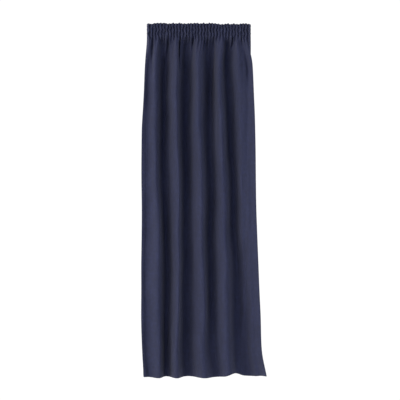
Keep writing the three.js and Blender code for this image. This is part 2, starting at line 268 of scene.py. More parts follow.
# Small tucks that run down from the heading: share of the cloth where each begins and ends, its depth and
# half its width in millimetres of cloth, and how far down it begins, is deepest and has gone
TUCKS = [
    (0.186, 0.186, -34, 16, 0.060, 0.130, 0.270),
    (0.318, 0.330, +38, 17, 0.060, 0.150, 0.400),
    (0.445, 0.448, +16, 14, 0.060, 0.100, 0.170),
    (0.548, 0.556, +22, 15, 0.060, 0.130, 0.260),
    (0.745, 0.748, +20, 15, 0.060, 0.110, 0.200),
    (0.812, 0.806, -20, 14, 0.060, 0.120, 0.210),
    (0.915, 0.952, +15, 20, 0.070, 0.230, 0.560),
    (0.052, 0.060, +12, 18, 0.060, 0.160, 0.420),
]


# Brightness of the studio round the curtain, from its left (0) past the camera (0.5) to its right (1)
SOFT_PANELS = [(0.0, 0.60), (0.12, 1.09), (0.27, 1.09), (0.39, 0.34), (0.48, 0.09), (0.62, 0.11), (0.76, 0.27),
               (0.92, 0.60), (1.0, 0.60)]
LIT_TINT, DIM_TINT = (1.07, 1.00, 0.87), (0.84, 0.95, 1.26)     # of its bright parts and its dim ones
# Brightness from straight below it (0) past its own level (0.5) to straight above it (1)
SOFT_LEVELS = [(0.25, 0.08), (0.42, 0.70), (0.52, 1.0), (0.64, 0.75), (0.80, 0.32), (0.95, 0.15)]


class Hang:
    """How the cloth hangs: where a share of its width and a distance down its length come to be"""

    def __init__(self, settings):
        cloth, heading = settings.cloth, settings.heading
        self.drop = cloth.drop
        self.top = CLOTH_HIGH.z
        self.width = heading.width
        self.flat_width = cloth.flat_width
        self.tape_foot = heading.tape_inset + heading.tape_height
        self.pleats = heading.pleats
        self.pleat_half = heading.pleat_depth / 2
        self.hem_top = cloth.drop - cloth.bottom_hem
        self.thickness = cloth.thickness
        self.seam_side = cloth.side_hem - cloth.seam_inset
        self.seam_bottom = self.hem_top + cloth.seam_inset
        self.seams_heading = (heading.tape_inset + cloth.seam_inset, self.tape_foot - cloth.seam_inset)
        self.back = TAPE_LOW.y          # the face of the channels that the pleats' backs touch
        self.middle = CLOTH_HIGH.y      # set below from the frame's own heading
        self.channel_rows = [
            self.top - sum(corner.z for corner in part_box(name)) / 2
            for name in ("draw_cord_upper", "draw_cord_middle", "draw_cord_lower")]
        cord_low, cord_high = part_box("draw_cord_middle")
        self.cord_axis = (cord_low.y + cord_high.y) / 2
        self.channel_front = self.cord_axis - heading.cord_radius - 0.75 * MM
        self.ridge = self.channel_front - 0.95 * MM - self.thickness / 2
        self.middle = self.ridge - self.pleat_half
        self.draw_pleats(np.random.default_rng(34))

    def draw_pleats(self, rng):
        """Chance differences between one pleat and the next"""
        rows = self.channel_rows
        self.pleat_stops = np.array([0, rows[0], (rows[0] + rows[1]) / 2, rows[1],
                                     (rows[1] + rows[2]) / 2, rows[2], self.tape_foot + 0.012, 0.150])
        count = 2 * self.pleats + 1     # back ridges are even, front ridges odd
        pitch = self.width / self.pleats
        sway = rng.uniform(-1, 1, (count, len(self.pleat_stops)))
        lean = np.array([1, -1, -0.2, 1, 0.2, -1, 0.4, 0.2]) * rng.choice([-1, 1], count)[:, None]
        front = np.arange(count) % 2 == 1
        self.pleat_shift = pitch * np.where(front[:, None], 0.15 * sway + 0.24 * lean, 0.04 * sway)
        self.pleat_shift[[0, -1]] = 0
        bulge = np.array([1.05, 0.86, 1.10, 0.88, 1.10, 0.86, 0.95, 0.8])
        share = 1 + 0.16 * rng.uniform(-1, 1, (count, 1)) + 0.10 * sway[:, ::-1]
        self.pleat_rise = np.where(front[:, None], share * bulge, 1.0)
        self.pleat_end = rng.uniform(0.140, 0.300, count)
        self.gather_places = np.linspace(0, 1, 32) + np.r_[0, rng.uniform(-0.009, 0.009, 30), 0]
        self.gather_depth = (8.0 + 3.5 * rng.uniform(-1, 1, 32)) * MM * (-1.0) ** np.arange(32)
        self.gather_end = rng.uniform(0.26, 0.50, 32)
        self.wander = rng.uniform(-1, 1, (2, len(FOLDS), 13)) * np.array([6.5, 6.0])[:, None, None] * MM
        self.wander[:, [0, -2, -1]] *= 0.25
        self.waves = [(rng.uniform(0.9, 1.5) * size * MM, rng.uniform(*across), rng.uniform(*length),
                       rng.uniform(0, 2 * math.pi))
                      for size, across, length in [(1.7, (2, 5), (0.9, 1.6)), (1.3, (6, 10), (0.5, 0.9)),
                                                   (1.0, (11, 16), (0.3, 0.6)), (0.8, (18, 26), (0.22, 0.4)),
                                                   (0.55, (30, 44), (0.13, 0.25)), (0.4, (50, 70), (0.07, 0.12))]]

    def pleat_at(self, share, down):
        """How far a pleat moves its cloth across and back"""
        place = share * 2 * self.pleats
        a = np.clip(np.floor(place).astype(int), 0, 2 * self.pleats - 1)
        t = place - a
        sign = np.where(a % 2 == 0, 1.0, -1.0)      # a back ridge first
        rise, shift = [], []
        for ridge, way in ((a, sign), (a + 1, -sign)):
            open_ = 1 - smoothstep(down, self.tape_foot - 0.006, self.pleat_end[ridge])
            size = along(self.pleat_stops, self.pleat_rise, ridge, down)
            front = way < 0
            rise.append(self.pleat_half * way * open_ * np.where(front, 2 * size - 1, 1.0))
            shift.append(open_ * along(self.pleat_stops, self.pleat_shift, ridge, down))
        half = self.width / (2 * self.pleats)
        swing = np.abs(rise[1] - rise[0]) / (2 * self.pleat_half)
        roundness = (rounded(t, 0.56, 0.56) - t) * half * np.minimum(swing, 1.2)
        ease = t * t * (3 - 2 * t)
        return shift[0] + (shift[1] - shift[0]) * t + roundness, rise[0] + (rise[1] - rise[0]) * ease

    def gather_at(self, share, down):
        """The pleats run together into a few wider ones below the tape, which open out in their turn"""
        k = np.clip(np.searchsorted(self.gather_places, share, side="right"), 1, 31)
        a, b = self.gather_places[k - 1], self.gather_places[k]
        t = (share - a) / (b - a)
        begin = smoothstep(down, self.tape_foot - 0.010, self.tape_foot + 0.055)
        depth = [self.gather_depth[i] * begin * (1 - smoothstep(down, self.tape_foot + 0.03, self.gather_end[i]))
                 for i in (k - 1, k)]
        return depth[0] + (depth[1] - depth[0]) * t * t * (3 - 2 * t)

    def fold_at(self, share, down):
        """The wide folds that the curtain falls in"""
        stops = np.r_[self.tape_foot, FOLD_LEVELS * self.drop]
        shares = np.array([fold[0] for fold in FOLDS])
        depths = np.array([(fold[1][0], *fold[1]) for fold in FOLDS]) * MM
        across = np.array([(fold[0], *fold[2]) for fold in FOLDS])
        reach_left = np.array([fold[3] for fold in FOLDS])
        reach_right = np.array([fold[4] for fold in FOLDS])
        ends = np.r_[self.tape_foot, np.array(SPREAD_LEVELS) * self.drop]
        left = -self.width / 2 - along(ends, np.r_[0, SPREAD_LEFT] * MM, 0, down)
        right = self.width / 2 + along(ends, np.r_[0, SPREAD_RIGHT] * MM, 0, down)
        b = np.clip(np.searchsorted(shares, share, side="left"), 1, len(FOLDS) - 1)
        a = b - 1
        t = np.clip((share - shares[a]) / (shares[b] - shares[a]), 0, 1)
        xa = left + (right - left) * along(stops, across, a, down)
        xb = left + (right - left) * along(stops, across, b, down)
        growth = 1 - (1 - smoothstep(down, self.tape_foot, BACK_GROWTH)) ** 2
        leave = 1 / 3 + (reach_right[a] - 1 / 3) * growth
        arrive = 1 / 3 + (reach_left[b] - 1 / 3) * growth
        forward = 1 - (1 - smoothstep(down, self.tape_foot, FRONT_GROWTH)) ** 2
        ya, yb = [along(stops, depths, line, down) for line in (a, b)]
        ya, yb = [y * np.where(y < 0, forward, growth) for y in (ya, yb)]
        free = smoothstep(down, self.tape_foot, 0.45)
        levels = np.linspace(self.tape_foot, self.drop, self.wander.shape[2])
        (xa, ya), (xb, yb) = [
            (x + free * along(levels, self.wander[0], line, down), y + free * along(levels, self.wander[1], line, down))
            for x, y, line in ((xa, ya, a), (xb, yb, b))]
        x = xa + (xb - xa) * rounded(t, leave, arrive)
        return x, ya + (yb - ya) * t * t * (3 - 2 * t)

    def tuck_at(self, share, down):
        """The small tucks below the heading"""
        moved = np.zeros_like(down)
        for start, end, depth, half, begin, deepest, gone in TUCKS:
            run = np.clip((down - begin) / (gone - begin), 0, 1)
            centre = start + (end - start) * run
            away = (share - centre) * self.flat_width / (half * MM * (1 - 0.35 * run))
            size = smoothstep(down, begin, deepest) * (1 - smoothstep(down, deepest, gone))
            moved += depth * MM * size * np.exp(-away ** 2)
        return moved

    def drift_at(self, share, down):
        """Slow unevenness of a hanging cloth"""
        free = smoothstep(down, self.tape_foot, self.tape_foot + 0.25)
        moved = sum(size * np.sin(2 * math.pi * (across * share + down / length) + start)
                    * np.sin(2 * math.pi * (across * 0.37 * share - down / (1.9 * length)) + 2 * start)
                    for size, across, length, start in self.waves)
        at_hem = smoothstep(down, self.seam_bottom - 0.10, self.seam_bottom + 0.02)
        pucker = sum(size * MM * np.sin(2 * math.pi * (share * count + down * slant) + 5 * share)
                     for size, count, slant in ((0.9, 37, 5.0), (0.6, 61, -9.0)))
        return free * moved + at_hem * pucker * (0.5 + 0.5 * np.sin(share * 17 + 1.0))

    def groove_at(self, share, down):
        """A line of stitches draws the cloth in"""
        edge = np.minimum(share, 1 - share) * self.flat_width
        side = np.exp(-((edge - self.seam_side) / (2.2 * MM)) ** 2) * smoothstep(down, self.tape_foot, 0.2)
        bottom = np.exp(-((down - self.seam_bottom) / (2.4 * MM)) ** 2)
        heading = sum(np.exp(-((down - seam) / (1.8 * MM)) ** 2) for seam in self.seams_heading)
        return side * 1.1 * MM + bottom * 1.0 * MM + heading * 0.5 * MM

    def place(self, share, down):
        """Points of the cloth's middle, one for each share and distance down"""
        share, down = np.broadcast_arrays(np.asarray(share, float), np.asarray(down, float))
        x, y = self.fold_at(share, down)
        pleat_x, pleat_y = self.pleat_at(share, down)
        x = x + pleat_x
        y = (self.middle + y + pleat_y + self.gather_at(share, down) + self.tuck_at(share, down)
             + self.drift_at(share, down) + self.groove_at(share, down))
        leaves_tape = smoothstep(down, self.tape_foot - 0.004, self.tape_foot + 0.040)
        y = np.minimum(y, self.ridge + 0.2 * MM + 60 * MM * leaves_tape)    # the channels are in its way
        falling = smoothstep(down, self.drop - 0.55, self.drop)
        lift = (25 * np.exp(-((x - 0.240) / 0.055) ** 2) + 11 * smoothstep(x, 0.36, 0.46)
                + 5 * (1 - smoothstep(x, -0.385, -0.30))) * MM
        edge = 1 - smoothstep(down, 0, 0.05)
        ends = 4 * MM * edge * (smoothstep(x, -0.31, -0.35) + smoothstep(x, 0.11, 0.16) + smoothstep(x, 0.33, 0.35))
        frill = 2.2 * MM * edge * (np.sin(share * 61 + 2.2 * np.sin(share * 23)) + 0.6 * np.sin(share * 211))
        return np.stack([x, y, self.top - 1.6 * MM - down + falling * lift - ends + frill], axis=-1)

    def laid(self, share, down, behind=0.0):
        """Points at a distance behind the cloth's middle, and the direction that they face backwards"""
        step = 2e-5
        share, down = np.broadcast_arrays(np.asarray(share, float), np.asarray(down, float))
        wide = self.place(share + step, down) - self.place(share - step, down)
        tall = self.place(share, down + step * self.flat_width) - self.place(share, down - step * self.flat_width)
        back = np.cross(wide, tall)
        back /= np.linalg.norm(back, axis=-1, keepdims=True)
        return self.place(share, down) + back * np.asarray(behind)[..., None], back


# ---- Meshes ----

def add_piece(name, mesh, body="panel"):
    """A new object that rides on a body of the frame"""
    for old in [ob for ob in bpy.data.objects if ob.name == name]:
        bpy.data.objects.remove(old)
    piece = bpy.data.objects.new(name, mesh)
    bpy.context.scene.collection.objects.link(piece)
    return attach(piece, body)


def draws_in(piece):
    """Gives the piece a mesh of its own"""
    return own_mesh(piece)


def woven_grid(name, across, lengthwise, points, smooth=True):
    """A grid of cloth whose columns and rows lie at the flat measures given, brought to its hanging points.
    Its map holds the flat measures in metres."""
    bm = bmesh.new()
    bmesh.ops.create_grid(bm, x_segments=len(across) - 1, y_segments=len(lengthwise) - 1, size=0.5)
    mesh = bpy.data.meshes.new(name)
    bm.to_mesh(mesh)
    bm.free()
    flat = np.zeros(3 * len(mesh.vertices))
    mesh.vertices.foreach_get("co", flat)
    flat = flat.reshape(-1, 3)
    columns = np.rint((flat[:, 0] + 0.5) * (len(across) - 1)).astype(int)
    rows = np.rint((0.5 - flat[:, 1]) * (len(lengthwise) - 1)).astype(int)
    mesh.vertices.foreach_set("co", points[rows, columns].ravel())
    corners = np.zeros(len(mesh.loops), int)
    mesh.loops.foreach_get("vertex_index", corners)
    layer = mesh.uv_layers.new(name="weave")
    layer.data.foreach_set("uv", np.stack([np.asarray(across)[columns[corners]],
                                           -np.asarray(lengthwise)[rows[corners]]], axis=1).ravel())
    mesh.shade_smooth() if smooth else mesh.shade_flat()
    mesh.update()
    return mesh


def thicken(piece, thickness, offset=0.0):
    """A live wall thickness"""
    wall = piece.modifiers.new("thickness", "SOLIDIFY")
    wall.thickness = thickness
    wall.offset = offset
    wall.use_even_offset = False
    return wall


def spread(*runs):
    """Measures along a cloth: each run is a start, an end and a number of steps"""
    return np.unique(np.concatenate([np.linspace(a, b, n + 1) for a, b, n in runs]).round(6))


def turned(cloth, hang, u, v):
    """Where flat cloth at u across and v down comes to be once its hems are turned: its share, distance
    down and the number of layers that it lies behind"""
    width, drop = hang.flat_width, hang.drop
    over_side = np.maximum(-u, u - width)
    over_bottom = v - drop
    over_top = -v
    u_turned = np.where(u < 0, -u, np.where(u > width, 2 * width - u, u))
    v_turned = np.where(v < 0, -v, np.where(v > drop, 2 * drop - v, v))
    bend = 1.5 * cloth.thickness
    side = smoothstep(over_side, 0, bend)
    bottom = smoothstep(over_bottom, 0, bend)
    top = smoothstep(over_top, 0, bend)
    near_side = 1 - smoothstep(np.minimum(u_turned, width - u_turned), cloth.side_hem, cloth.side_hem + 0.012)
    below_tape = smoothstep(v_turned, hang.tape_foot, hang.tape_foot + 0.012)
    layers = side * (0.25 + 0.75 * np.maximum(below_tape, 0)) + bottom * ((1 - side) * (1 + 2 * near_side) + side)
    return u_turned / width, v_turned, layers + top * 0.9


def stitches(name, runs, pitch, radius):
    """Runs of short stitches, each along points that face a direction"""
    seed = bmesh.new()
    bmesh.ops.create_uvsphere(seed, u_segments=6, v_segments=4, radius=1.0)
    bmesh.ops.rotate(seed, verts=seed.verts, cent=(0, 0, 0), matrix=Matrix.Rotation(math.pi / 2, 3, "Y"))
    bmesh.ops.scale(seed, verts=seed.verts, vec=(0.44 * pitch, 1.25 * radius, radius))
    stitch = bpy.data.meshes.new("stitch")
    seed.to_mesh(stitch)
    seed.free()
    bm = bmesh.new()
    for points, facing in runs:
        steps = np.linalg.norm(np.diff(points, axis=0), axis=1)
        reached = np.r_[0, np.cumsum(steps)]
        marks = np.arange(pitch / 2, reached[-1], pitch)
        middles, ahead, up = [
            np.stack([np.interp(at, reached, values[:, i]) for i in range(3)], axis=1)
            for values, at in ((points, marks), (points, marks + 0.4 * pitch), (facing, marks))]
        for middle, front, normal in zip(middles, ahead, up):
            along_ = Vector(front - middle).normalized()
            side = Vector(normal).cross(along_).normalized()
            turn = Matrix((along_, side, along_.cross(side))).transposed().to_4x4()
            move = Matrix.Translation(middle) @ turn
            stitch.transform(move)
            bm.from_mesh(stitch)
            stitch.transform(move.inverted())
    mesh = bpy.data.meshes.new(name)
    bm.to_mesh(mesh)
    bm.free()
    bpy.data.meshes.remove(stitch)
    mesh.shade_smooth()
    return mesh


# ---- Materials ----

class Finish:
    """A material under construction"""

    def __init__(self, name, colour, roughness):
        self.material = bpy.data.materials.get(name) or bpy.data.materials.new(name)
        self.material.use_nodes = True
        self.tree = self.material.node_tree
        self.tree.nodes.clear()
        self.shader = self.node("ShaderNodeBsdfPrincipled")
        self.shader.inputs["Base Color"].default_value = (*colour, 1)
        self.shader.inputs["Roughness"].default_value = roughness
        output = self.node("ShaderNodeOutputMaterial")
        self.link(self.shader.outputs["BSDF"], output.inputs["Surface"])
        self.material.diffuse_color = (*colour, 1)

    def node(self, kind, **values):
        """A node with properties by name and inputs by their spoken name"""
        node = self.tree.nodes.new(kind)
        for key, value in values.items():
            if hasattr(node, key):
                setattr(node, key, value)
            else:
                node.inputs[key.replace("_", " ").title()].default_value = value
        return node

    def link(self, source, target):
        self.tree.links.new(source, target)

    def coordinates(self, kind, scale):
        """Places on the piece, from its weave map or its own axes, stretched"""
        source = self.node("ShaderNodeUVMap", uv_map="weave") if kind == "weave" \
            else self.node("ShaderNodeTexCoord")
        mapping = self.node("ShaderNodeMapping")
        mapping.inputs["Scale"].default_value = scale
        self.link(source.outputs["UV" if kind == "weave" else "Object"], mapping.inputs["Vector"])
        return mapping.outputs["Vector"]

    def noise(self, coordinates, scale, detail=3.0):
        node = self.node("ShaderNodeTexNoise", scale=scale, detail=detail)
        self.link(coordinates, node.inputs["Vector"])
        return node.outputs["Fac"]

    def ribs(self, coordinates, period, direction, distortion=0.0):
        """Even ribs whose crests are a period apart"""
        node = self.node("ShaderNodeTexWave", wave_type="BANDS", bands_direction=direction,
                         scale=2 * math.pi / (20 * period), distortion=distortion, detail=1.0)
        node.inputs["Detail Scale"].default_value = 0.3
        self.link(coordinates, node.inputs["Vector"])
        return node.outputs["Fac"]

    def maths(self, operation, first, second):
        node = self.node("ShaderNodeMath", operation=operation)
        for socket, value in zip(node.inputs, (first, second)):
            if isinstance(value, (int, float)):
                socket.default_value = value
            else:
                self.link(value, socket)
        return node.outputs["Value"]

    def ramp(self, factor, stops):
        """Colours at places along a factor"""
        node = self.node("ShaderNodeValToRGB")
        elements = node.color_ramp.elements
        while len(elements) < len(stops):
            elements.new(0.5)
        for element, (place, colour) in zip(elements, stops):
            element.position = place
            element.color = (*colour, 1)
        self.link(factor, node.inputs["Fac"])
        return node.outputs["Color"]

    def relief(self, height, distance, strength=1.0, under=None):
        """A bump of the given height, over another bump if there is one"""
        node = self.node("ShaderNodeBump", strength=strength, distance=distance)
        self.link(height, node.inputs["Height"])
        if under is not None:
            self.link(under, node.inputs["Normal"])
        return node.outputs["Normal"]

    def sheen(self, weight, roughness, tint):
        self.shader.inputs["Sheen Weight"].default_value = weight
        self.shader.inputs["Sheen Roughness"].default_value = roughness
        self.shader.inputs["Sheen Tint"].default_value = (*tint, 1)


def tinted(colour, factor):
    return tuple(min(1.0, channel * factor) for channel in colour)


def cloth_finish(cloth):
    """Heavy soft woven cloth: a fine plain weave with slubs, under a short nap"""
    colour = tuple(cloth.colour)
    finish = Finish("heavy_cloth", colour, 0.88)
    flat = finish.coordinates("weave", (1, 1, 1))
    warp = finish.ribs(flat, 0.9 * MM, "X", 0.6)
    weft = finish.ribs(flat, 1.0 * MM, "Y", 0.6)
    weave = finish.maths("MAXIMUM", warp, weft)
    slubs = finish.noise(finish.coordinates("weave", (900, 60, 1)), 1.0, 2.0)
    cross_slubs = finish.noise(finish.coordinates("weave", (60, 900, 1)), 1.0, 2.0)
    yarn = finish.maths("ADD", finish.maths("MULTIPLY", slubs, 0.5), finish.maths("MULTIPLY", cross_slubs, 0.5))
    mottle = finish.noise(flat, 46.0, 5.0)
    crush = finish.noise(finish.coordinates("weave", (1.0, 0.32, 1)), 21.0, 3.0)
    shade = finish.maths("ADD", finish.maths("MULTIPLY", mottle, 0.42), finish.maths("MULTIPLY", yarn, 0.33))
    shade = finish.maths("ADD", shade, finish.maths("MULTIPLY", crush, 0.25))
    tone = finish.ramp(shade, [(0.34, tinted(colour, 0.72)), (0.50, colour), (0.66, tinted(colour, 1.38))])
    finish.link(tone, finish.shader.inputs["Base Color"])
    rough = finish.maths("ADD", finish.maths("MULTIPLY", mottle, 0.16), 0.78)
    finish.link(rough, finish.shader.inputs["Roughness"])
    finish.shader.inputs["Specular IOR Level"].default_value = 0.45
    finish.shader.inputs["Specular Tint"].default_value = (0.95, 0.96, 1.0, 1)
    finish.sheen(0.12, 0.5, cloth.nap_colour)
    threads = finish.maths("ADD", finish.maths("MULTIPLY", weave, 0.6), finish.maths("MULTIPLY", yarn, 0.7))
    lower = finish.relief(crush, 2.2 * MM, 0.6)
    finish.link(finish.relief(threads, 0.22 * MM, 0.7, lower), finish.shader.inputs["Normal"])
    return finish.material


def tape_finish(heading):
    """Woven tape with fine ribs across it, with painted shade between the ribs and random soiling"""
    colour = tuple(heading.tape_colour)
    finish = Finish("woven_tape", colour, 0.82)
    flat = finish.coordinates("weave", (1, 1, 1))
    cords = finish.ribs(flat, 1.1 * MM, "X", 0.4)
    picks = finish.ribs(flat, 0.8 * MM, "Y", 0.4)
    weave = finish.maths("ADD", finish.maths("MULTIPLY", cords, 0.65), finish.maths("MULTIPLY", picks, 0.35))
    soil = finish.noise(flat, 60.0, 4.0)
    # the colour is darker in the valleys between the ribs (painted shade) and where the soil noise is low (random dirt)
    shade = finish.maths("ADD", finish.maths("MULTIPLY", weave, 0.5), finish.maths("MULTIPLY", soil, 0.5))
    tone = finish.ramp(shade, [(0.25, tinted(colour, 0.78)), (0.55, colour), (0.8, tinted(colour, 1.12))])
    finish.link(tone, finish.shader.inputs["Base Color"])
    finish.sheen(0.15, 0.5, (1, 1, 1))
    finish.link(finish.relief(weave, 0.25 * MM), finish.shader.inputs["Normal"])
    return finish.material


def cord_finish(heading):
    """Twisted cord, with painted shade in the grooves between its strands"""
    colour = tuple(heading.cord_colour)
    finish = Finish("twisted_cord", colour, 0.7)
    turned_ = finish.coordinates("object", (1, 1, 1))
    strands = finish.ribs(turned_, 1.6 * MM, "DIAGONAL", 0.2)
    fibre = finish.noise(turned_, 900.0, 2.0)
    # the colour is darker where the strands dip: painted shade in the grooves, with random fibre tone over it
    shade = finish.maths("ADD", finish.maths("MULTIPLY", strands, 0.7), finish.maths("MULTIPLY", fibre, 0.3))
    finish.link(finish.ramp(shade, [(0.1, tinted(colour, 0.6)), (0.6, colour), (1.0, tinted(colour, 1.1))]),
                finish.shader.inputs["Base Color"])
    finish.link(finish.relief(shade, 0.3 * MM), finish.shader.inputs["Normal"])
    return finish.material


def thread_finish(trim):
    """Spun polyester thread"""
    colour = tuple(trim.thread_colour)
    finish = Finish("sewing_thread", colour, 0.5)
    place = finish.coordinates("object", (1, 1, 1))
    fibre = finish.noise(place, 1800.0, 2.0)
    finish.link(finish.ramp(fibre, [(0.3, tinted(colour, 0.7)), (0.7, tinted(colour, 1.4))]),
                finish.shader.inputs["Base Color"])
    finish.sheen(0.3, 0.3, (0.8, 0.85, 1))
    finish.link(finish.relief(fibre, 0.08 * MM), finish.shader.inputs["Normal"])
    return finish.material


def label_finish(trim):
    """Satin label, left blank, with painted shade between its floats"""
    colour = tuple(trim.label_colour)
    finish = Finish("satin_label", colour, 0.36)
    flat = finish.coordinates("weave", (1, 1, 1))
    floats = finish.ribs(flat, 0.35 * MM, "Y", 0.5)
    soft = finish.noise(flat, 150.0, 3.0)
    # the colour is darker between the floats (painted shade) and where the soft noise is low (random tone)
    shade = finish.maths("ADD", finish.maths("MULTIPLY", floats, 0.4), finish.maths("MULTIPLY", soft, 0.6))
    finish.link(finish.ramp(shade, [(0.2, tinted(colour, 0.86)), (0.7, colour)]),
                finish.shader.inputs["Base Color"])
    finish.sheen(0.2, 0.3, (1, 1, 1))
    finish.link(finish.relief(floats, 0.05 * MM), finish.shader.inputs["Normal"])
    return finish.material


def hook_finish(trim):
    """Moulded translucent white plastic"""
    colour = tuple(trim.hook_colour)
    finish = Finish("moulded_plastic", colour, 0.34)
    place = finish.coordinates("object", (1, 1, 1))
    flow = finish.noise(place, 260.0, 3.0)
    grain = finish.noise(place, 2600.0, 2.0)
    finish.link(finish.ramp(flow, [(0.3, tinted(colour, 0.93)), (0.7, colour)]),
                finish.shader.inputs["Base Color"])
    finish.link(finish.maths("ADD", finish.maths("MULTIPLY", flow, 0.18), 0.26),
                finish.shader.inputs["Roughness"])
    finish.shader.inputs["Subsurface Weight"].default_value = 0.25
    finish.shader.inputs["Subsurface Radius"].default_value = (0.002, 0.0018, 0.0015)
    finish.shader.inputs["Coat Weight"].default_value = 0.15
    finish.link(finish.relief(grain, 0.04 * MM), finish.shader.inputs["Normal"])
    return finish.material


# ---- Operators, one for each piece or group of like pieces ----

class CURTAIN_OT_cloth(bpy.types.Operator):
    """Hang the cloth, with its hems turned"""
    bl_idname = "curtain.cloth"
    bl_label = "Curtain Cloth"

    def execute(self, context):
        settings = context.scene.curtain
        cloth, hang = settings.cloth, Hang(settings)
        width, drop, hem = hang.flat_width, hang.drop, cloth.side_hem
        bend = 1.5 * cloth.thickness
        edge = [(-bend, bend, 4)]
        seam = hang.seam_side
        half = spread((-hem, -bend, 6), *edge, (seam - 4 * MM, seam + 4 * MM, 4), (bend, hem - 8 * MM, 5))
        middle = np.linspace(0, width, hang.pleats * 8 + 1)
        across = np.concatenate([half, width - half, middle[(middle > hem + 2 * MM) & (middle < width - hem - 2 * MM)]])
        across = np.unique(across.round(6))
        low, foot = hang.seams_heading
        lengthwise = spread(
            (-cloth.top_turn, -bend, 3), (-bend, bend, 4), (bend, low + 4 * MM, 4),
            (low + 4 * MM, foot - 4 * MM, 14), (foot - 4 * MM, foot + 4 * MM, 4), (foot + 4 * MM, 0.34, 26),
            (0.34, 0.60, 12), (0.60, hang.hem_top - 10 * MM, 52), (hang.hem_top - 10 * MM, hang.seam_bottom + 4 * MM, 6),
            (hang.seam_bottom + 4 * MM, drop - bend, 7), (drop - bend, drop + bend, 4),
            (drop + bend, drop + cloth.bottom_hem, 7))
        u, v = np.meshgrid(across, lengthwise)
        share, down, layers = turned(cloth, hang, u, v)
        points, _ = hang.laid(share, down, layers * 1.25 * cloth.thickness)
        piece = add_piece("cloth", woven_grid("cloth", across, lengthwise, points))
        piece.data.materials.append(cloth_finish(cloth))
        thicken(piece, cloth.thickness)
        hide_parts("curtain_cloth")
        draws_in(piece)
        return {"FINISHED"}


class CURTAIN_OT_tape(bpy.types.Operator):
    """Sew the heading tape to the backs of the pleats, with its three corded channels"""
    bl_idname = "curtain.tape"
    bl_label = "Heading Tape"

    def execute(self, context):
        settings = context.scene.curtain
        heading, hang = settings.heading, Hang(settings)
        finish = tape_finish(heading)
        thickness = 0.55 * MM
        across = np.linspace(0, 1, hang.pleats * 8 + 1)
        lengthwise = spread((heading.tape_inset, hang.tape_foot, 26))
        share, down = np.meshgrid(across, lengthwise)
        over_turn = 1 - smoothstep(down, settings.cloth.top_turn, settings.cloth.top_turn + 5 * MM)
        behind = 0.95 * MM + thickness / 2 + over_turn * 1.25 * MM
        points, _ = hang.laid(share, down, behind)
        ribbon = add_piece("tape", woven_grid("tape", across * hang.flat_width, lengthwise, points))
        thicken(ribbon, thickness)
        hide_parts("heading_tape")
        pockets = [self.channel(heading, hang, row, centre)
                   for row, centre in zip(("upper", "middle", "lower"), hang.channel_rows)]
        for piece in (ribbon, *pockets):
            piece.data.materials.append(finish)
            draws_in(piece)
        return {"FINISHED"}

    def channel(self, heading, hang, row, centre):
        """One band across the pleats' backs, raised round its cord"""
        half = heading.channel_height / 2
        bore = heading.cord_radius + 0.45 * MM
        face = hang.channel_front + 0.35 * MM
        turns = np.linspace(-90, 90, 9)
        tube = [(hang.cord_axis + bore * math.cos(math.radians(a)), bore * math.sin(math.radians(a))) for a in turns]
        profile = [(face, -half), (face, -half * 0.8), (face, -bore - 1.0 * MM), *tube,
                   (face, bore + 1.0 * MM), (face, half * 0.8), (face, half)]
        profile = np.array(profile[::-1])
        across = np.linspace(-hang.width / 2, hang.width / 2, hang.pleats * 8 + 1)
        from_ridge = np.abs((across / hang.width + 0.5) * hang.pleats % 1 - 0.5) * 2     # 1 on a back ridge
        sag = 0.25 * MM * (1 - from_ridge) ** 2
        points = np.zeros((len(profile), len(across), 3))
        points[..., 0] = across
        points[..., 1] = profile[:, :1] + sag
        points[..., 2] = hang.top - centre + profile[:, 1:]
        mesh = woven_grid(f"tape_channel_{row}", across, centre - profile[:, 1], points)
        piece = add_piece(f"tape_channel_{row}", mesh)
        thicken(piece, 0.5 * MM)
        return piece


class CURTAIN_OT_cords(bpy.types.Operator):
    """Thread a draw cord through each channel and knot its ends"""
    bl_idname = "curtain.cords"
    bl_label = "Draw Cords"

    def execute(self, context):
        settings = context.scene.curtain
        hang = Hang(settings)
        finish = cord_finish(settings.heading)
        for row, centre in zip(("upper", "middle", "lower"), hang.channel_rows):
            name = f"draw_cord_{row}"
            low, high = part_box(name)
            piece = add_piece(f"cord_{row}", self.knotted(settings.heading, hang, centre, low.x, high.x))
            piece.data.materials.append(finish)
            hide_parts(name)
            draws_in(piece)
        return {"FINISHED"}

    def knotted(self, heading, hang, centre, low, high):
        """A round cord whose two ends are overhand knots"""
        radius = heading.cord_radius
        size = 0.62 * radius
        knot = [(size * (math.sin(t) + 2 * math.sin(2 * t)), size * (math.cos(t) - 2 * math.cos(2 * t)),
                 -1.15 * size * math.sin(3 * t)) for t in np.linspace(0, 2 * math.pi, 33)[:-1]]
        curve = bpy.data.curves.new("cord", "CURVE")
        curve.dimensions = "3D"
        curve.bevel_depth = radius
        curve.bevel_resolution = 2
        curve.use_fill_caps = True
        reach = 3.2 * radius
        line = curve.splines.new("POLY")
        xs = np.linspace(low + reach, high - reach, 60)
        line.points.add(len(xs) - 1)
        for point, x in zip(line.points, xs):
            point.co = (x, hang.cord_axis, hang.top - centre, 1)
        for x, way in ((low + reach, -1), (high - reach, 1)):
            loop = curve.splines.new("POLY")
            loop.use_cyclic_u = True
            loop.points.add(len(knot) - 1)
            for point, (a, b, c) in zip(loop.points, knot):
                point.co = (x - way * 0.4 * radius + way * c, hang.cord_axis + a * 0.8, hang.top - centre + b * 0.8, 1)
        curve.bevel_depth = radius * 0.92
        holder = bpy.data.objects.new("cord_line", curve)
        mesh = bpy.data.meshes.new_from_object(holder)
        bpy.data.objects.remove(holder)
        bpy.data.curves.remove(curve)
        mesh.shade_smooth()
        return mesh


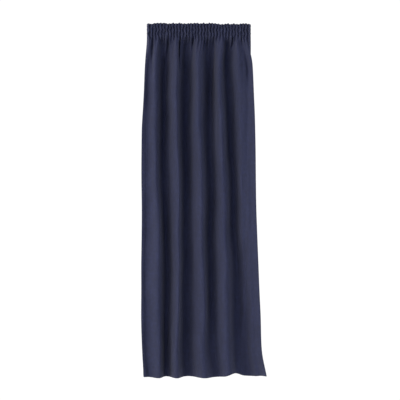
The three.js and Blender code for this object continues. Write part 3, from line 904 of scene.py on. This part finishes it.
class CURTAIN_OT_seams(bpy.types.Operator):
    """Sew the heading seams, the side seams and the hem seam, stitch by stitch"""
    bl_idname = "curtain.seams"
    bl_label = "Seams"

    def execute(self, context):
        settings = context.scene.curtain
        hang, trim = Hang(settings), settings.trim
        finish = thread_finish(trim)
        cloth = hang.thickness
        front = -cloth / 2 - 0.1 * MM
        full = np.linspace(0.002, 0.998, hang.pleats * 24)
        falling = np.linspace(hang.tape_foot + 6 * MM, hang.hem_top - 2 * MM, 500)
        side = hang.seam_side / hang.flat_width
        hem_back = 1.75 * cloth + 0.15 * MM
        upper, lower = hang.seams_heading
        runs = {
            "heading_seam_upper": [(full, upper, front), (full, upper, 2.75 * MM + 0.15 * MM)],
            "heading_seam_lower": [(full, lower, front), (full, lower, 1.5 * MM + 0.15 * MM)],
            "side_seam_left": [(side, falling, front), (side, falling, hem_back)],
            "side_seam_right": [(1 - side, falling, front), (1 - side, falling, hem_back)],
            "hem_seam": [(full, hang.seam_bottom, front), (full, hang.seam_bottom, hem_back)],
        }
        for name, lines in runs.items():
            sewn = [hang.laid(share, down, behind) for share, down, behind in lines]
            mesh = stitches(name, sewn, trim.stitch_pitch, trim.thread_radius)
            piece = add_piece(f"stitches_{name.replace('_seam', '')}", mesh)
            piece.data.materials.append(finish)
            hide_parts(name)
            draws_in(piece)
        return {"FINISHED"}


class CURTAIN_OT_label(bpy.types.Operator):
    """Sew the blank care label behind the side hem"""
    bl_idname = "curtain.label"
    bl_label = "Care Label"

    def execute(self, context):
        settings = context.scene.curtain
        hang, trim = Hang(settings), settings.trim
        low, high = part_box("care_label")
        across = np.linspace(trim.label_inset, trim.label_inset + trim.label_width, 9)
        top, foot = hang.top - high.z, hang.top - low.z
        lengthwise = np.linspace(top, foot, 19)
        u, v = np.meshgrid(across, lengthwise)
        curl = ((v - top) / (foot - top)) ** 2 * 3.5 * MM
        behind = 1.75 * hang.thickness + 0.35 * MM + curl
        points, _ = hang.laid(u / hang.flat_width, v, behind)
        piece = add_piece("label", woven_grid("label", across, lengthwise, points))
        thicken(piece, 0.25 * MM)
        piece.data.materials.append(label_finish(trim))
        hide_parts("care_label")
        draws_in(piece)
        return {"FINISHED"}


class CURTAIN_OT_hooks(bpy.types.Operator):
    """Mould the hooks and set each one in its pocket"""
    bl_idname = "curtain.hooks"
    bl_label = "Hooks"

    def execute(self, context):
        trim = context.scene.curtain.trim
        finish = hook_finish(trim)
        for name in HOOK_NAMES:
            body = next(joint["child"] for joint in frame["joints"] if joint["child"] == name) \
                if name != HOOK_NAMES[0] else "panel"
            mesh = self.hook(trim, name)
            mesh.transform(Matrix.Translation((HOOK_X[name], 0, 0)))
            mesh.materials.append(finish)
            piece = add_piece(name.replace("hook", "curtain_hook"), mesh, body)
            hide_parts(name)
        return {"FINISHED"}

    def hook(self, trim, name):
        """A strip bent into a mouth over the ring, a spine and a leg, with all its edges rounded"""
        low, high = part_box(name)
        stock, mouth = trim.hook_stock, high.y - trim.hook_stock
        leg = low.y + stock
        tip, seat = -7 * MM, high.z - stock
        leg_top = low.z + stock + 21 * MM - 0
        corners = [(high.y, tip), (high.y, high.z), (-high.y, high.z), (-high.y, low.z + stock), (leg, low.z + stock),
                   (leg, leg_top), (low.y, leg_top), (low.y, low.z), (-mouth, low.z), (-mouth, seat), (mouth, seat),
                   (mouth, tip)]
        radii = [1.15, 2.6, 2.6, 1.0, 1.0, 1.15, 1.15, 2.6, 2.6, 0.9, 0.9, 1.15]
        bm = bmesh.new()
        verts = [bm.verts.new((0, y, z)) for y, z in corners]
        bm.faces.new(verts)
        for vert, radius in zip(verts, radii):
            bmesh.ops.bevel(bm, geom=[vert], affect="VERTICES", offset=radius * MM, offset_type="OFFSET",
                            segments=5, profile=0.5, material=-1)
        bmesh.ops.translate(bm, verts=bm.verts, vec=(-trim.hook_width / 2, 0, 0))
        side = bmesh.ops.extrude_face_region(bm, geom=bm.faces[:])
        moved = [item for item in side["geom"] if isinstance(item, bmesh.types.BMVert)]
        bmesh.ops.translate(bm, verts=moved, vec=(trim.hook_width, 0, 0))
        bmesh.ops.recalc_face_normals(bm, faces=bm.faces)
        rims = [edge for edge in bm.edges if abs(edge.calc_face_angle(0)) > 1.2 and
                abs(edge.verts[0].co.x - edge.verts[1].co.x) < 1e-6]
        bmesh.ops.bevel(bm, geom=rims, affect="EDGES", offset=0.45 * MM, segments=2, profile=0.5, material=-1)
        mesh = bpy.data.meshes.new(name)
        bm.to_mesh(mesh)
        bm.free()
        mesh.shade_smooth()
        mesh.set_sharp_from_angle(angle=math.radians(50))
        return mesh


class CURTAIN_OT_stage(bpy.types.Operator):
    """Set the floor, the soft lights and the camera"""
    bl_idname = "curtain.stage"
    bl_label = "Stage"

    def execute(self, context):
        scene = context.scene
        stage = scene.curtain.stage
        self.floor(stage)
        self.world(scene)
        self.light("side_light_left", (-4.4, -3.4, -0.9), stage.side_power, 3.2)
        self.light("side_light_right", (4.8, -2.6, -0.8), stage.side_power / 40, 3.2)
        data = bpy.data.cameras.new("camera")
        data.sensor_width = 36.0
        data.lens = data.sensor_width / stage.view_height * stage.camera_distance
        data.clip_end = 100
        camera = bpy.data.objects.new("camera", data)
        camera.location = (0.0082, -stage.camera_distance, CLOTH_HIGH.z - 1.225)
        camera.rotation_euler = (math.pi / 2, 0, 0)
        scene.collection.objects.link(camera)
        scene.camera = camera
        scene.view_settings.view_transform = "Standard"
        scene.view_settings.look = "None"
        return {"FINISHED"}

    def floor(self, stage):
        bm = bmesh.new()
        bmesh.ops.create_circle(bm, cap_ends=True, segments=96, radius=stage.floor_radius)
        forward = 0.9
        bmesh.ops.translate(bm, verts=bm.verts, vec=(0, -forward, CLOTH_LOW.z - stage.clearance))
        mesh = bpy.data.meshes.new("floor")
        bm.to_mesh(mesh)
        bm.free()
        finish = Finish("pale_floor", (0.88, 0.88, 0.88), 0.9)
        speckle = finish.noise(finish.coordinates("object", (1, 1, 1)), 3.0)
        finish.link(finish.ramp(speckle, [(0.2, (0.87, 0.87, 0.87)), (0.8, (0.89, 0.89, 0.89))]),
                    finish.shader.inputs["Base Color"])
        mesh.materials.append(finish.material)
        floor = bpy.data.objects.new("floor", mesh)
        bpy.context.scene.collection.objects.link(floor)

    def world(self, scene):
        world = bpy.data.worlds.new("studio")
        world.use_nodes = True
        nodes, links = world.node_tree.nodes, world.node_tree.links
        nodes.clear()
        seen, shed = nodes.new("ShaderNodeBackground"), nodes.new("ShaderNodeBackground")
        seen.inputs["Strength"].default_value = 1.05
        shed.inputs["Strength"].default_value = scene.curtain.stage.dome
        seen.inputs["Color"].default_value = (1, 1, 1, 1)
        toward, apart = nodes.new("ShaderNodeTexCoord"), nodes.new("ShaderNodeSeparateXYZ")
        level = nodes.new("ShaderNodeVectorMath")
        level.operation = "MULTIPLY"
        level.inputs[1].default_value = (1, 1, 0)
        unit = nodes.new("ShaderNodeVectorMath")
        unit.operation = "NORMALIZE"
        links.new(toward.outputs["Generated"], level.inputs[0])
        links.new(level.outputs[0], unit.inputs[0])
        links.new(unit.outputs[0], apart.inputs[0])
        across = nodes.new("ShaderNodeMapRange")
        across.inputs["From Min"].default_value = -1
        links.new(apart.outputs["X"], across.inputs["Value"])
        upright = nodes.new("ShaderNodeSeparateXYZ")
        links.new(toward.outputs["Generated"], upright.inputs[0])
        height = nodes.new("ShaderNodeMapRange")
        height.inputs["From Min"].default_value = -1
        links.new(upright.outputs["Z"], height.inputs["Value"])
        both = nodes.new("ShaderNodeVectorMath")
        both.operation = "MULTIPLY"
        panels = [(at, [grey * (dim + (lit - dim) * min(grey, 1)) for dim, lit in zip(DIM_TINT, LIT_TINT)])
                  for at, grey in SOFT_PANELS]
        levels = [(at, [grey] * 3) for at, grey in SOFT_LEVELS]
        for socket, place, stops in ((0, across, panels), (1, height, levels)):
            ramp = nodes.new("ShaderNodeValToRGB")
            while len(ramp.color_ramp.elements) < len(stops):
                ramp.color_ramp.elements.new(0.5)
            for element, (at, colour) in zip(ramp.color_ramp.elements, stops):
                element.position = at
                element.color = (*colour, 1)
            links.new(place.outputs[0], ramp.inputs["Fac"])
            links.new(ramp.outputs["Color"], both.inputs[socket])
        links.new(both.outputs[0], shed.inputs["Color"])
        ray, either = nodes.new("ShaderNodeLightPath"), nodes.new("ShaderNodeMixShader")
        output = nodes.new("ShaderNodeOutputWorld")
        links.new(ray.outputs["Is Camera Ray"], either.inputs[0])
        links.new(shed.outputs[0], either.inputs[1])
        links.new(seen.outputs[0], either.inputs[2])
        links.new(either.outputs[0], output.inputs["Surface"])
        scene.world = world

    def light(self, name, place, power, size):
        data = bpy.data.lights.new(name, "AREA")
        data.energy = power
        data.color = LIT_TINT
        data.shape = "RECTANGLE"
        data.size = size * 0.5
        data.size_y = size
        lamp = bpy.data.objects.new(name, data)
        lamp.location = place
        aim = Vector((0, 0, -1.2)) - Vector(place)
        lamp.rotation_euler = aim.to_track_quat("-Z", "Y").to_euler()
        lamp.visible_camera = False
        bpy.context.scene.collection.objects.link(lamp)


PIECES = (
    CURTAIN_OT_cloth,
    CURTAIN_OT_tape,
    CURTAIN_OT_cords,
    CURTAIN_OT_seams,
    CURTAIN_OT_label,
    CURTAIN_OT_hooks,
    CURTAIN_OT_stage,
)
GROUPS = (CURTAIN_PG_cloth, CURTAIN_PG_heading, CURTAIN_PG_trim, CURTAIN_PG_stage)


class CURTAIN_PG_settings(bpy.types.PropertyGroup):
    """Everything that the curtain is made from"""
    cloth: PointerProperty(type=CURTAIN_PG_cloth)
    heading: PointerProperty(type=CURTAIN_PG_heading)
    trim: PointerProperty(type=CURTAIN_PG_trim)
    stage: PointerProperty(type=CURTAIN_PG_stage)


class CURTAIN_PT_panel(bpy.types.Panel):
    """Sizes, colours and one button for each piece"""
    bl_idname = "CURTAIN_PT_panel"
    bl_label = "Curtain Panel"
    bl_space_type = "VIEW_3D"
    bl_region_type = "UI"
    bl_category = "Curtain"

    def draw(self, context):
        layout = self.layout
        for name in ("cloth", "heading", "trim", "stage"):
            group = getattr(context.scene.curtain, name)
            box = layout.box()
            box.label(text=name.title())
            for field in type(group).__annotations__:
                box.prop(group, field)
        for operator in PIECES:
            layout.operator(operator.bl_idname)


CLASSES = (*GROUPS, CURTAIN_PG_settings, *PIECES, CURTAIN_PT_panel)


def register():
    for item in CLASSES:
        bpy.utils.register_class(item)
    bpy.types.Scene.curtain = PointerProperty(type=CURTAIN_PG_settings)


def unregister():
    del bpy.types.Scene.curtain
    for item in reversed(CLASSES):
        bpy.utils.unregister_class(item)


def main():
    """Registers the add-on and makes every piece"""
    register()
    for operator in PIECES:
        space, name = operator.bl_idname.split(".")
        getattr(getattr(bpy.ops, space), name)()


if __name__ == "__main__":
    main()
